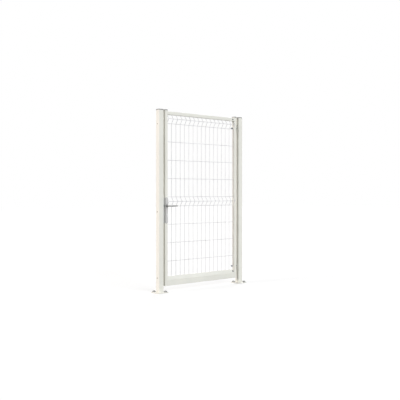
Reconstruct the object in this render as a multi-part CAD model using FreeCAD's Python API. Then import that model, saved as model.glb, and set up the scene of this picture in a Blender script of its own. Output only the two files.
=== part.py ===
import FreeCAD, Part
import math
import os

from FreeCAD import Vector

# Pedestrian gate: one framed leaf filled with folded welded mesh, hung between
# two square posts on base plates.  Millimetres, +Z up.  The front faces -Y, the
# latch post stands at -X and the hinge post at +X.  The origin is the centre of
# the underside of the hinge post's base plate.

# ---- Posts
post_size = 60.0            # outside of the square tube
post_wall = 2.5
post_corner = 4.0           # outside corner radius of the tube
plate_size = 140.0          # square base plate
plate_thickness = 8.0
plate_corner = 8.0
plate_hole = 14.0           # holes for ground anchors
plate_hole_pitch = 90.0
cap_skirt = 0.6             # rim of the caps outside the tube
cap_height = 10.0
cap_chamfer = 1.2
cap_plug = 12.0             # depth of the plug inside the tube
cap_plug_wall = 2.0
cap_play = 0.2

# ---- Leaf
leaf_bottom = 70.0          # above the ground
leaf_height = 1906.0
leaf_tube = 35.0            # stiles and top rail, seen from the front
leaf_depth = 40.0           # stiles and rails from front to back
leaf_wall = 2.0
leaf_corner = 3.0
rail_drop = 9.0             # top rail below the stiles' tops
bottom_rail_height = 60.0
sill_height = 42.0          # folded ridge on the bottom rail
sill_sheet = 2.0
sill_top_width = 9.0
latch_gap = 20.0            # leaf to latch post
hinge_gap = 34.0            # leaf to hinge post
axis_from_post = 17.0       # hinge axis in front of the post's inner face

# ---- Mesh
wire = 5.0
mesh_pitch_x = 60.0
mesh_pitch_z = 200.0
mesh_columns = 17           # upright wires
mesh_margin = 1.5           # outer upright wires to the stiles
mesh_rise = 4.3             # start of the upper fold above the top rail's underside
fold_height = 100.0
fold_depth = 36.0
weld_bite = 0.8             # how far crossing wires sink into each other

# ---- Hinges
hinge_below_top = 128.0     # upper hinge centre below the leaf's top
hinge_above_bottom = 140.0
pin_radius = 6.0
pin_head_radius = 8.0
pin_head_height = 4.0
pin_play = 0.3
pin_tail = 4.0              # pin below the lower lug
eye_radius = 11.0
eye_height = 20.0
eye_play = 0.4              # running gap between eye and lugs
lug_thickness = 6.0
lug_half = 9.5              # half the width of a lug and its nose radius
bracket_plate = 4.0
bracket_width = 22.0
bracket_height = 90.0
shank_radius = 6.0
shank_play = 0.2
nut_across = 18.0
nut_height = 10.0
nut_play = 0.2              # between the nuts and the mesh's last wire
washer_thickness = 2.5
shank_overhang = 10.0       # thread beyond the inner nut

# ---- Lock and handle
lever_height = 869.0        # spindle axis above the leaf's bottom
cylinder_drop = 92.0        # cylinder axis below the spindle
escutcheon_above = 92.0     # plate above and below the spindle axis
escutcheon_below = 190.0
escutcheon_width = 34.0
escutcheon_thickness = 8.0
escutcheon_corner = 15.0
escutcheon_bevel = 2.5
forend_width = 24.0
forend_thickness = 3.0
forend_margin = 12.0        # face plate beyond the case at each end
case_width = 29.0
case_depth = 34.0
case_height = 250.0
spindle_side = 8.0
spindle_play = 0.4
lever_stand_off = 55.0      # lever's centre line in front of the escutcheon
lever_length = 110.0
lever_radius = 10.5         # neck and bend
lever_tip_radius = 6.0
lever_bend = 16.0
bend_cuts = 3
lever_end_bevel = 1.5
collar_radius = 13.0
collar_length = 9.0
collar_play = 0.3
cylinder_width = 17.0
cylinder_body_width = 10.0
cylinder_height = 33.0
cylinder_proud = 4.0
latch_nose = 9.0            # latch bolt beyond the leaf's edge
latch_depth = 13.0
latch_height = 26.0
latch_play = 0.5
latch_travel = 8.0

# ---- Keeper on the latch post
keeper_thickness = 3.0
keeper_width = 40.0
keeper_height = 286.0
keeper_window = 5.0         # clearance around the latch bolt

# ---- Fixings for the fence beside the gate
insert_low = 161.0          # above the ground
insert_mid = 876.0
insert_below_top = 150.0    # below the top of the post's tube
insert_across = 11.0        # hexagonal shank, across its flats
insert_flange_radius = 8.0
insert_flange = 1.2
insert_bore = 3.3
insert_length = 15.0

# ---- Derived places
half_post = post_size / 2.0
leaf_width = (mesh_columns - 1) * mesh_pitch_x + wire + 2.0 * (mesh_margin + leaf_tube)
leaf_right = -half_post - hinge_gap
leaf_left = leaf_right - leaf_width
latch_post_x = leaf_left - latch_gap - half_post
leaf_front = -half_post                     # flush with the posts' fronts
leaf_back = leaf_front + leaf_depth
leaf_mid = (leaf_front + leaf_back) / 2.0
leaf_top = leaf_bottom + leaf_height
post_top = leaf_top
insert_heights = (insert_low, insert_mid, post_top - insert_below_top)
clear_left = leaf_left + leaf_tube
clear_right = leaf_right - leaf_tube
rail_underside = leaf_top - rail_drop - leaf_tube
sill_bottom = leaf_bottom + bottom_rail_height
sill_top = sill_bottom + sill_height
axis_x = -half_post - axis_from_post        # hinge axis in the gap
axis_y = leaf_mid + wire / 2.0 + nut_across / 2.0 + nut_play
hinge_levels = {
    "upper": leaf_top - hinge_below_top,
    "lower": leaf_bottom + hinge_above_bottom,
}
lock_x = leaf_left + leaf_tube / 2.0
lock_z = leaf_bottom + lever_height
cylinder_z = lock_z - cylinder_drop
plate_middle = lock_z + (escutcheon_above - escutcheon_below) / 2.0
forend_half = case_height / 2.0 + forend_margin
collar_bore = collar_radius + collar_play
spindle_bore = spindle_side / math.sqrt(2.0) + spindle_play


def box(x0, x1, y0, y1, z0, z1):
    """Block between two opposite corners."""
    return Part.makeBox(x1 - x0, y1 - y0, z1 - z0, Vector(x0, y0, z0))


def rounded_rectangle(width, depth, radius):
    """Face of a rectangle about the origin in XY with rounded corners."""
    half_w = width / 2.0
    half_d = depth / 2.0
    edges = []
    corners = ((1, 1, 0), (-1, 1, 90), (-1, -1, 180), (1, -1, 270))
    points = []
    for sx, sy, start in corners:
        centre = Vector(sx * (half_w - radius), sy * (half_d - radius), 0)
        circle = Part.Circle(centre, Vector(0, 0, 1), radius)
        a0 = math.radians(start)
        arc = Part.Arc(circle, a0, a0 + math.pi / 2.0)
        points.append((arc, arc.StartPoint, arc.EndPoint))
    for index, (arc, start, end) in enumerate(points):
        edges.append(arc.toShape())
        following = points[(index + 1) % 4][1]
        edges.append(Part.LineSegment(end, following).toShape())
    return Part.Face(Part.Wire(edges))


def square_tube(width, depth, wall, corner, length):
    """Upright hollow tube about the Z axis, standing on Z = 0."""
    outside = rounded_rectangle(width, depth, corner)
    inside = rounded_rectangle(width - 2.0 * wall, depth - 2.0 * wall, corner - wall / 2.0)
    return outside.cut(inside).extrude(Vector(0, 0, length))


def upright(shape, x, y, z):
    """Copy of a shape moved to a place."""
    moved = shape.copy()
    moved.translate(Vector(x, y, z))
    return moved


def along_x(shape):
    """Turn an upright shape so that its length runs along +X."""
    turned = shape.copy()
    turned.rotate(Vector(0, 0, 0), Vector(0, 1, 0), 90)
    return turned


def cylinder(radius, length, start, direction):
    """Round bar from a point along a direction."""
    return Part.makeCylinder(radius, length, start, direction)


def polygon(points):
    """Face through a closed run of points."""
    return Part.Face(Part.makePolygon([Vector(*p) for p in points + points[:1]]))


def hexagon_x(across, length, x, y, z):
    """Hexagonal nut or head with its axis along X and flats to front and back."""
    radius = across / math.sqrt(3.0)
    points = []
    for step in range(6):
        angle = math.radians(30.0 + 60.0 * step)
        points.append((x, y + radius * math.cos(angle), z + radius * math.sin(angle)))
    return polygon(points).extrude(Vector(length, 0, 0))


def wire_section():
    """Hexagon about the origin in XY with the area of the round wire, edges to front and back."""
    out = wire / 2.0 * math.sqrt(2.0 * math.pi / (3.0 * math.sqrt(3.0)))
    points = []
    for step in range(6):
        angle = math.radians(30.0 + 60.0 * step)
        points.append(Vector(out * math.cos(angle), out * math.sin(angle), 0))
    return Part.makePolygon(points + points[:1])


def ring(radius, centre, direction):
    """Twelve-sided outline about a point, across a level direction, with a side on top."""
    side = Vector(0, 0, 1).cross(direction)
    points = []
    for step in range(12):
        angle = math.radians(15.0 + 30.0 * step)
        points.append(centre + side * (radius * math.cos(angle)) + Vector(0, 0, radius * math.sin(angle)))
    return Part.makePolygon(points + points[:1])


def bevelled_rectangle(width, depth, cut):
    """Face of a rectangle about the origin in XY with its corners cut off."""
    x = width / 2.0
    y = depth / 2.0
    points = [(x - cut, -y, 0), (x, -y + cut, 0), (x, y - cut, 0), (x - cut, y, 0),
              (-x + cut, y, 0), (-x, y - cut, 0), (-x, -y + cut, 0), (-x + cut, -y, 0)]
    return polygon(points)


def post(x, hinge_side):
    """Square post tube with the holes of its fixings."""
    tube = square_tube(post_size, post_size, post_wall, post_corner, post_top - plate_thickness)
    body = upright(tube, x, 0, plate_thickness)
    side = 1.0 if hinge_side else -1.0
    face_x = x + side * half_post
    for level in insert_heights:
        body = body.cut(hexagon_x(insert_across, 2.0 * (post_wall + 1.0), face_x - post_wall - 1.0, 0, level))
    return body


def base_plate(x):
    """Square plate with four anchor holes."""
    plate = rounded_rectangle(plate_size, plate_size, plate_corner).extrude(Vector(0, 0, plate_thickness))
    reach = plate_hole_pitch / 2.0
    for sx in (-1, 1):
        for sy in (-1, 1):
            start = Vector(sx * reach, sy * reach, -1)
            plate = plate.cut(cylinder(plate_hole / 2.0, plate_thickness + 2.0, start, Vector(0, 0, 1)))
    return upright(plate, x, 0, 0)


def tube_cap(width, depth, wall, corner, x, y, z):
    """Flat cap with a chamfered rim and a plug inside the tube."""
    rim = 2.0 * cap_skirt
    lid = rounded_rectangle(width + rim, depth + rim, corner + cap_skirt).extrude(Vector(0, 0, cap_height))
    top_edges = [e for e in lid.Edges if e.BoundBox.ZMin > cap_height - 0.01]
    lid = lid.makeChamfer(cap_chamfer, top_edges)
    play = 2.0 * (wall + cap_play)
    bore = play + 2.0 * cap_plug_wall
    plug = bevelled_rectangle(width - play, depth - play, corner - wall / 2.0).extrude(Vector(0, 0, cap_plug))
    hollow = bevelled_rectangle(width - bore, depth - bore, corner / 2.0).extrude(Vector(0, 0, cap_plug))
    plug = plug.cut(hollow)
    plug.translate(Vector(0, 0, -cap_plug))
    return upright(lid.fuse(plug).removeSplitter(), x, y, z)


def inserts(x, hinge_side):
    """Threaded rivet inserts in a post's outer face."""
    side = 1.0 if hinge_side else -1.0
    face_x = x + side * half_post
    outward = Vector(side, 0, 0)
    pieces = []
    for level in insert_heights:
        shank = hexagon_x(insert_across, insert_length, min(face_x, face_x - side * insert_length), 0, level)
        flange = cylinder(insert_flange_radius, insert_flange, Vector(face_x, 0, level), outward)
        start = Vector(face_x - side * (insert_length + 1.0), 0, level)
        bore = cylinder(insert_bore, insert_length + insert_flange + 2.0, start, outward)
        pieces.append(shank.fuse(flange).cut(bore))
    return Part.makeCompound(pieces)


def hinge_bracket(level):
    """Plate on the hinge post with two lugs above and below the eye."""
    face_x = -half_post
    plate = box(face_x - bracket_plate, face_x, axis_y - bracket_width / 2.0, axis_y + bracket_width / 2.0,
                level - bracket_height / 2.0, level + bracket_height / 2.0)
    body = plate
    inner = eye_height / 2.0 + eye_play
    for bottom in (level + inner, level - inner - lug_thickness):
        root = box(axis_x, face_x, axis_y - lug_half, axis_y + lug_half, bottom, bottom + lug_thickness)
        nose = cylinder(lug_half, lug_thickness, Vector(axis_x, axis_y, bottom), Vector(0, 0, 1))
        body = body.fuse(root).fuse(nose)
    hole = cylinder(pin_radius, bracket_height, Vector(axis_x, axis_y, level - bracket_height / 2.0), Vector(0, 0, 1))
    return body.cut(hole).removeSplitter()


def hinge_pin(level):
    """Headed pin through the lugs and the eye."""
    reach = eye_height / 2.0 + eye_play + lug_thickness
    up = Vector(0, 0, 1)
    shaft = cylinder(pin_radius, 2.0 * reach + pin_tail, Vector(axis_x, axis_y, level - reach - pin_tail), up)
    head = cylinder(pin_head_radius, pin_head_height, Vector(axis_x, axis_y, level + reach), up)
    return shaft.fuse(head).removeSplitter()


def eye_bolt(level):
    """Threaded eye-bolt through the hinge stile."""
    up = Vector(0, 0, 1)
    eye = cylinder(eye_radius, eye_height, Vector(axis_x, axis_y, level - eye_height / 2.0), up)
    tip_x = clear_right - washer_thickness - nut_height - shank_overhang
    shank = cylinder(shank_radius, axis_x - tip_x, Vector(tip_x, axis_y, level), Vector(1, 0, 0))
    hole = cylinder(pin_radius + pin_play, eye_height + 2.0, Vector(axis_x, axis_y, level - eye_height / 2.0 - 1.0), up)
    return eye.fuse(shank).cut(hole).removeSplitter()


def hinge_nuts(level):
    """Washer and nut on the stile's inner face."""
    washer_x = clear_right - washer_thickness
    nut_x = washer_x - nut_height
    washer = cylinder(nut_across / 2.0, washer_thickness, Vector(washer_x, axis_y, level), Vector(1, 0, 0))
    nut = hexagon_x(nut_across, nut_height, nut_x, axis_y, level)
    hole = cylinder(shank_radius, nut_height + washer_thickness, Vector(nut_x, axis_y, level), Vector(1, 0, 0))
    return washer.fuse(nut).cut(hole)


def hinge_stile():
    """Hinge-side upright of the leaf, drilled for the eye-bolts."""
    tube = square_tube(leaf_tube, leaf_depth, leaf_wall, leaf_corner, leaf_height)
    body = upright(tube, leaf_right - leaf_tube / 2.0, leaf_mid, leaf_bottom)
    for level in hinge_levels.values():
        start = Vector(clear_right - 1.0, axis_y, level)
        body = body.cut(cylinder(shank_radius + shank_play, leaf_tube + 2.0, start, Vector(1, 0, 0)))
    return body


def latch_stile():
    """Latch-side upright of the leaf, cut out for the lock."""
    tube = square_tube(leaf_tube, leaf_depth, leaf_wall, leaf_corner, leaf_height)
    body = upright(tube, lock_x, leaf_mid, leaf_bottom)
    slot = box(leaf_left - 1.0, leaf_left + leaf_wall + 1.0, leaf_mid - forend_width / 2.0,
               leaf_mid + forend_width / 2.0, plate_middle - forend_half, plate_middle + forend_half)
    body = body.cut(slot)
    across = Vector(0, 1, 0)
    spindle_hole = cylinder(spindle_bore + 1.0, leaf_depth + 2.0, Vector(lock_x, leaf_front - 1.0, lock_z), across)
    lock_hole = lock_cylinder(0.5, leaf_front - 1.0, leaf_back + 1.0)
    return body.cut(spindle_hole).cut(lock_hole)


def lock_cylinder(grow, y0, y1):
    """Profile cylinder: a round barrel with a narrow body hanging below."""
    barrel_radius = cylinder_width / 2.0
    barrel = cylinder(barrel_radius + grow, y1 - y0, Vector(lock_x, y0, cylinder_z), Vector(0, 1, 0))
    half = cylinder_body_width / 2.0
    foot_z = cylinder_z + barrel_radius - cylinder_height + half
    body = box(lock_x - half - grow, lock_x + half + grow, y0, y1, foot_z, cylinder_z)
    foot = cylinder(half + grow, y1 - y0, Vector(lock_x, y0, foot_z), Vector(0, 1, 0))
    return barrel.fuse(body).fuse(foot).removeSplitter()


def rail(height, z0):
    """Horizontal tube between the stiles."""
    inner = clear_right - clear_left
    tube = along_x(square_tube(height, leaf_depth, leaf_wall, leaf_corner, inner))
    return upright(tube, clear_left, leaf_mid, z0 + height / 2.0)


def sill():
    """Folded ridge on the bottom rail that carries the mesh's lower ends."""
    half_base = leaf_depth / 2.0
    half_top = sill_top_width / 2.0
    inner_rise = sill_height - sill_sheet
    outside = [(clear_left, leaf_mid - half_base, sill_bottom), (clear_left, leaf_mid - half_top, sill_top),
               (clear_left, leaf_mid + half_top, sill_top), (clear_left, leaf_mid + half_base, sill_bottom)]
    inside = [(clear_left, leaf_mid - half_base + sill_sheet, sill_bottom),
              (clear_left, leaf_mid - half_top + sill_sheet / 2.0, sill_bottom + inner_rise),
              (clear_left, leaf_mid + half_top - sill_sheet / 2.0, sill_bottom + inner_rise),
              (clear_left, leaf_mid + half_base - sill_sheet, sill_bottom)]
    return polygon(outside).cut(polygon(inside)).extrude(Vector(clear_right - clear_left, 0, 0))


def mesh_levels():
    """Heights and depths of the cross wires from the top down; the first one is inside the top rail."""
    top = rail_underside + mesh_rise
    step = mesh_pitch_z
    rows = [(top, 0.0), (top - fold_height / 2.0, fold_depth), (top - fold_height, 0.0)]
    level = top - fold_height
    for _ in range(3):
        level -= step
        rows.append((level, 0.0))
    level -= step
    rows += [(level, 0.0), (level - fold_height / 2.0, fold_depth), (level - fold_height, 0.0)]
    level -= fold_height
    while level - step > sill_top + wire:
        level -= step
        rows.append((level, 0.0))
    return rows


def mesh_panel():
    """Folded welded mesh: cross wires in front of the upright wires, sunk into each other at the welds."""
    rows = mesh_levels()
    radius = wire / 2.0
    path = [Vector(0, 0, rail_underside + 2.0 * mesh_rise)]
    fold_rows = [row for row in rows if row[1] > 0.0]
    for level, depth in fold_rows:
        path.append(Vector(0, 0, level + fold_height / 2.0))
        path.append(Vector(0, -depth, level))
        path.append(Vector(0, 0, level - fold_height / 2.0))
    path.append(Vector(0, 0, sill_top))
    spine = Part.makePolygon(path)
    profile = wire_section()
    profile.translate(path[0])
    thickness = profile.BoundBox.YLength
    inside_rail = box(-wire, wire, -fold_depth, wire, rail_underside, rail_underside + 3.0 * mesh_rise)
    upright_wire = spine.makePipeShell([profile], True, False, 1).cut(inside_rail)
    first_x = clear_left + mesh_margin + radius
    bars = []
    for column in range(mesh_columns):
        bars.append(upright(upright_wire, first_x + column * mesh_pitch_x, leaf_mid, 0))
    length = clear_right - clear_left
    bar = along_x(Part.Face(wire_section()).extrude(Vector(0, 0, length)))
    ahead = thickness - weld_bite
    for level, depth in rows[1:]:
        bars.append(upright(bar, clear_left, leaf_mid - depth - ahead, level))
    return bars[0].multiFuse(bars[1:])


def escutcheon(front):
    """Bevelled cover plate round the handle and the cylinder."""
    plate = rounded_rectangle(escutcheon_width, escutcheon_above + escutcheon_below, escutcheon_corner)
    body = plate.extrude(Vector(0, 0, escutcheon_thickness))
    rim = [e for e in body.Edges if e.BoundBox.ZMin > escutcheon_thickness - 0.01]
    body = body.makeChamfer(escutcheon_bevel, rim)
    body.rotate(Vector(0, 0, 0), Vector(1, 0, 0), 90)
    if not front:
        body.rotate(Vector(0, 0, 0), Vector(0, 0, 1), 180)
    y = leaf_front if front else leaf_back
    body.translate(Vector(lock_x, y, plate_middle))
    y0 = leaf_front - 20.0 if front else leaf_back - 1.0
    spindle_hole = cylinder(collar_bore, 21.0, Vector(lock_x, y0, lock_z), Vector(0, 1, 0))
    return body.cut(spindle_hole).cut(lock_cylinder(0.3, y0, y0 + 21.0))


def lock_case():
    """Closed case inside the latch stile."""
    x0 = leaf_left + forend_thickness
    half = case_height / 2.0
    middle = plate_middle
    body = box(x0, x0 + case_width, leaf_mid - case_depth / 2.0, leaf_mid + case_depth / 2.0,
               middle - half, middle + half)
    across = Vector(0, 1, 0)
    spindle_hole = cylinder(spindle_bore, leaf_depth, Vector(lock_x, leaf_front, lock_z), across)
    tail = latch_block(latch_play, latch_travel)
    return body.cut(spindle_hole).cut(lock_cylinder(0.0, leaf_front, leaf_back)).cut(tail)


def latch_block(grow, extra):
    """Latch bolt's block, with growth all round and extra length inwards."""
    return box(leaf_left - latch_nose - grow, leaf_left + forend_thickness + extra + grow,
               leaf_mid - latch_depth / 2.0 - grow, leaf_mid + latch_depth / 2.0 + grow,
               lock_z - latch_height / 2.0 - grow, lock_z + latch_height / 2.0 + grow)


def lock_forend():
    """Lock's face plate let into the stile's edge."""
    plate = box(leaf_left, leaf_left + forend_thickness, leaf_mid - forend_width / 2.0,
                leaf_mid + forend_width / 2.0, plate_middle - forend_half, plate_middle + forend_half)
    return plate.cut(latch_block(latch_play, 0.0))


def latch_bolt():
    """Bevelled latch bolt."""
    block = latch_block(0.0, 0.0)
    tip = leaf_left - latch_nose
    wedge = polygon([(tip - 1.0, leaf_mid - latch_depth, lock_z), (tip - 1.0, leaf_mid + 3.0, lock_z),
                     (leaf_left, leaf_mid - latch_depth, lock_z)])
    wedge.translate(Vector(0, 0, -latch_height))
    return block.cut(wedge.extrude(Vector(0, 0, 2.0 * latch_height)))


def keeper():
    """Striking plate on the latch post's inner face."""
    face_x = latch_post_x + half_post
    plate = box(face_x, face_x + keeper_thickness, leaf_mid - keeper_width / 2.0, leaf_mid + keeper_width / 2.0,
                plate_middle - keeper_height / 2.0, plate_middle + keeper_height / 2.0)
    window = box(face_x - 1.0, face_x + keeper_thickness + 1.0,
                 leaf_mid - latch_depth / 2.0 - keeper_window, leaf_mid + latch_depth / 2.0 + keeper_window,
                 lock_z - latch_height / 2.0 - keeper_window, lock_z + latch_height / 2.0 + keeper_window)
    return plate.cut(window)


def lever(front):
    """Round neck and a tapered grip that meet in a bend of flat cuts, pointing to the hinge side."""
    sign = -1.0 if front else 1.0
    face_y = leaf_front if front else leaf_back
    base_y = face_y + sign * (escutcheon_thickness - 4.0)
    bar_y = face_y + sign * (escutcheon_thickness + lever_stand_off)
    root = Vector(lock_x, base_y, lock_z)
    tip = Vector(lock_x + lever_length, bar_y, lock_z)
    outward = Vector(0, sign, 0)
    rings = [ring(lever_radius, root, outward)]
    for step in range(bend_cuts + 1):
        angle = math.radians(90.0 * step / bend_cuts)
        ahead = Vector(math.sin(angle), sign * math.cos(angle), 0)
        place = Vector(lock_x + lever_bend * (1.0 - math.cos(angle)),
                       bar_y - sign * lever_bend * (1.0 - math.sin(angle)), lock_z)
        rings.append(ring(lever_radius, place, ahead))
    rings.append(ring(lever_tip_radius + lever_end_bevel, tip - Vector(lever_end_bevel, 0, 0), Vector(1, 0, 0)))
    rings.append(ring(lever_tip_radius, tip, Vector(1, 0, 0)))
    bar = Part.makeLoft(rings, True, True)
    collar = cylinder(collar_radius, collar_length, root, outward)
    return bar.fuse(collar).cut(spindle(0.0)).removeSplitter()


def spindle(grow):
    """Square bar that joins the two levers."""
    half = spindle_side / 2.0 + grow
    reach = 22.0
    bar = box(-half, half, leaf_front - reach, leaf_back + reach, -half, half)
    return upright(bar, lock_x, 0, lock_z)


os.makedirs("parts", exist_ok=True)

nodes = {
    "hinge_post": post(0.0, True),
    "latch_post": post(latch_post_x, False),
    "hinge_post_plate": base_plate(0.0),
    "latch_post_plate": base_plate(latch_post_x),
    "hinge_post_cap": tube_cap(post_size, post_size, post_wall, post_corner, 0.0, 0.0, post_top),
    "latch_post_cap": tube_cap(post_size, post_size, post_wall, post_corner, latch_post_x, 0.0, post_top),
    "hinge_post_inserts": inserts(0.0, True),
    "latch_post_inserts": inserts(latch_post_x, False),
    "keeper_plate": keeper(),
    "hinge_stile": hinge_stile(),
    "latch_stile": latch_stile(),
    "top_rail": rail(leaf_tube, rail_underside),
    "bottom_rail": rail(bottom_rail_height, leaf_bottom),
    "bottom_sill": sill(),
    "mesh_panel": mesh_panel(),
    "hinge_stile_cap": tube_cap(leaf_tube, leaf_depth, leaf_wall, leaf_corner,
                                leaf_right - leaf_tube / 2.0, leaf_mid, leaf_top),
    "latch_stile_cap": tube_cap(leaf_tube, leaf_depth, leaf_wall, leaf_corner, lock_x, leaf_mid, leaf_top),
    "lock_case": lock_case(),
    "lock_forend": lock_forend(),
    "lock_cylinder": lock_cylinder(0.0, leaf_front - escutcheon_thickness - cylinder_proud,
                                   leaf_back + escutcheon_thickness + cylinder_proud),
    "front_escutcheon": escutcheon(True),
    "back_escutcheon": escutcheon(False),
    "latch_bolt": latch_bolt(),
    "front_lever": lever(True),
    "back_lever": lever(False),
    "spindle": spindle(0.0),
}
for name, level in hinge_levels.items():
    nodes[name + "_hinge_bracket"] = hinge_bracket(level)
    nodes[name + "_hinge_pin"] = hinge_pin(level)
    nodes[name + "_eye_bolt"] = eye_bolt(level)
    nodes[name + "_hinge_nut"] = hinge_nuts(level)

for name, shape in nodes.items():
    shape.exportStep("parts/" + name + ".step")
    print(name, len(shape.Solids), shape.isValid(), round(shape.Volume))
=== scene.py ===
import logging
import math
from dataclasses import dataclass
from enum import Enum

import bpy
import numpy as np
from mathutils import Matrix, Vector


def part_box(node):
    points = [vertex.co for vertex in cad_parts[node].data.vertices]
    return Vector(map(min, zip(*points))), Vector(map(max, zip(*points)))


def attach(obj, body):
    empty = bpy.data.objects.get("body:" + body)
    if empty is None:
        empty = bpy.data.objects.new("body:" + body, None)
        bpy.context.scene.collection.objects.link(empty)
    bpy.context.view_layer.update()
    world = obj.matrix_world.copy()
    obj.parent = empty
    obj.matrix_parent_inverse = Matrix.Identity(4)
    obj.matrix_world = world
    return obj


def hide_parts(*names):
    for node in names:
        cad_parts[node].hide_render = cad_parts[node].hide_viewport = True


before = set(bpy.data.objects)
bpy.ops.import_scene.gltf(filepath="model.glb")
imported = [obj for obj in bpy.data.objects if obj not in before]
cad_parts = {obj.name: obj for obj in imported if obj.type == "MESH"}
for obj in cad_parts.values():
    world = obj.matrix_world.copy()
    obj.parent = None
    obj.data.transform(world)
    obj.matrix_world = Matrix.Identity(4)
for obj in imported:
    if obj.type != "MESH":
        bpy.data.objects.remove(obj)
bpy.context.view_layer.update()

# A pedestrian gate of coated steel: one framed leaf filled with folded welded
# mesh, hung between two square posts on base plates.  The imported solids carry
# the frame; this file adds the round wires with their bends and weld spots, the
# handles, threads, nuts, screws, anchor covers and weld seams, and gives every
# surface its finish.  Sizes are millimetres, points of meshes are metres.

MM = 0.001
PHOTO_PX = 400
RIPPLE_SWELL = 0.09         # how far a weld's ripples swell it, as a share of its radius
SEAM_SIDES = 10             # points round a weld seam
NECK_SIDES = 48             # points round an anchor cover, a collar or a bush
CREASE_WELD = 60.0          # degrees above which an edge of a weld stays sharp
WHITE = (1.0, 1.0, 1.0, 1.0)
LOG = logging.getLogger("mesh_gate")
Tree = bpy.types.NodeTree
Socket = bpy.types.NodeSocket


class Axis(Enum):
    """Direction that a turned piece points along."""

    LEFT = (-1.0, 0.0, 0.0)
    RIGHT = (1.0, 0.0, 0.0)
    FORWARD = (0.0, -1.0, 0.0)
    BACKWARD = (0.0, 1.0, 0.0)
    UP = (0.0, 0.0, 1.0)


class Outline(Enum):
    """Shape of a turned ring, as its reach over its inner radius at each angle."""

    ROUND = "round"
    HEXAGON = "hexagon"
    KEYWAY = "keyway"


class End(Enum):
    """Side of the gate along its width."""

    LATCH = "latch"
    HINGE = "hinge"


class Face(Enum):
    """Side of the leaf along its depth."""

    FRONT = "front"
    BACK = "back"

    @property
    def axis(self) -> Axis:
        """Direction that this side faces."""
        return Axis.FORWARD if self is Face.FRONT else Axis.BACKWARD

    def outside(self, box: "Extent") -> float:
        """Depth of the box's side that faces the same way, in metres."""
        return box.low[1] if self is Face.FRONT else box.high[1]

    def inside(self, box: "Extent") -> float:
        """Depth of the box's side that faces the other way, in metres."""
        return box.high[1] if self is Face.FRONT else box.low[1]


# ---- finishes


def linear(code: str) -> tuple[float, float, float, float]:
    """Turn an sRGB hex colour into a linear one.

    A channel c becomes c / 12.92 up to 0.04045, and ((c + 0.055) / 1.055) to the
    power 2.4 above that.

    Args:
        code: Six hex digits after a hash.

    Returns:
        Red, green and blue as linear light, and an alpha of 1.
    """
    channels = np.array([int(code[place:place + 2], 16) for place in (1, 3, 5)]) / 255.0
    curved = ((channels + 0.055) / 1.055) ** 2.4
    red, green, blue = np.where(channels <= 0.04045, channels / 12.92, curved)
    return float(red), float(green), float(blue), 1.0


def add_node(tree: Tree, kind: str, sockets: dict, **settings: object) -> bpy.types.Node:
    """Add one node with its settings, values and links.

    Args:
        tree: Node tree that takes the node.
        kind: Blender's name for the node's class.
        sockets: Input name or number, with a value or the output that feeds it.
        settings: Attributes of the node itself.

    Returns:
        The new node.
    """
    node = tree.nodes.new(kind)
    for name, value in settings.items():
        setattr(node, name, value)
    for key, value in sockets.items():
        if isinstance(value, Socket):
            tree.links.new(value, node.inputs[key])
        else:
            node.inputs[key].default_value = value
    return node


def blank_tree(owner: bpy.types.ID) -> Tree:
    """Give a material or a world an empty node tree.

    Args:
        owner: The material or the world.

    Returns:
        Its node tree.
    """
    owner.use_nodes = True
    owner.node_tree.nodes.clear()
    return owner.node_tree


@dataclass(frozen=True)
class Noise:
    """Grey noise by the size of its features, which may be drawn out upwards."""

    size: float
    detail: float
    roughness: float
    stretch: float = 1.0


@dataclass(frozen=True)
class Finish:
    """A surface with two close colours and a roughness, which follow fine noise.

    The colour blends from dark to light as the tone's grey, or else the grain's,
    goes through blend.  The roughness leaves its middle by up to wander as the
    grain's grey goes from 0.3 to 0.7, and relief is its bump's strength and depth.
    """

    name: str
    light: str
    dark: str
    roughness: float
    grain: Noise
    tone: Noise | None = None
    wander: float = 0.05
    blend: tuple[float, float] = (0.35, 0.65)
    relief: tuple[float, float] = (0.0, 0.0)
    metallic: float = 0.0

    def material(self) -> bpy.types.Material:
        """Give the finish's material, made on its first use.

        Returns:
            The material that every piece of this finish shares.
        """
        found = bpy.data.materials.get(self.name)
        if found is not None:
            return found
        made = bpy.data.materials.new(self.name)
        tree = blank_tree(made)
        place = add_node(tree, "ShaderNodeTexCoord", {}).outputs["Object"]
        greys = []
        for noise in (self.grain, self.tone or self.grain):
            drawn = add_node(tree, "ShaderNodeMapping", {
                "Vector": place, "Scale": (1.0, 1.0, 1.0 / noise.stretch)})
            speckle = add_node(tree, "ShaderNodeTexNoise", {
                "Vector": drawn.outputs["Vector"], "Scale": 1.0 / (noise.size * MM),
                "Detail": noise.detail, "Roughness": noise.roughness})
            greys.append(speckle.outputs["Fac"])
        grain, tone = greys
        ramp = add_node(tree, "ShaderNodeValToRGB", {"Fac": tone})
        for number, code in enumerate((self.dark, self.light)):
            ramp.color_ramp.elements[number].position = self.blend[number]
            ramp.color_ramp.elements[number].color = linear(code)
        rough = add_node(tree, "ShaderNodeMapRange", {
            "Value": grain, "From Min": 0.3, "From Max": 0.7,
            "To Min": self.roughness - self.wander, "To Max": self.roughness + self.wander})
        sockets = {"Base Color": ramp.outputs["Color"], "Roughness": rough.outputs["Result"],
                   "Metallic": self.metallic}
        strength, depth = self.relief
        if strength > 0.0:
            bump = add_node(tree, "ShaderNodeBump", {
                "Height": grain, "Strength": strength, "Distance": depth * MM})
            sockets["Normal"] = bump.outputs["Normal"]
        shader = add_node(tree, "ShaderNodeBsdfPrincipled", sockets)
        add_node(tree, "ShaderNodeOutputMaterial", {"Surface": shader.outputs[0]})
        return made


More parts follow.
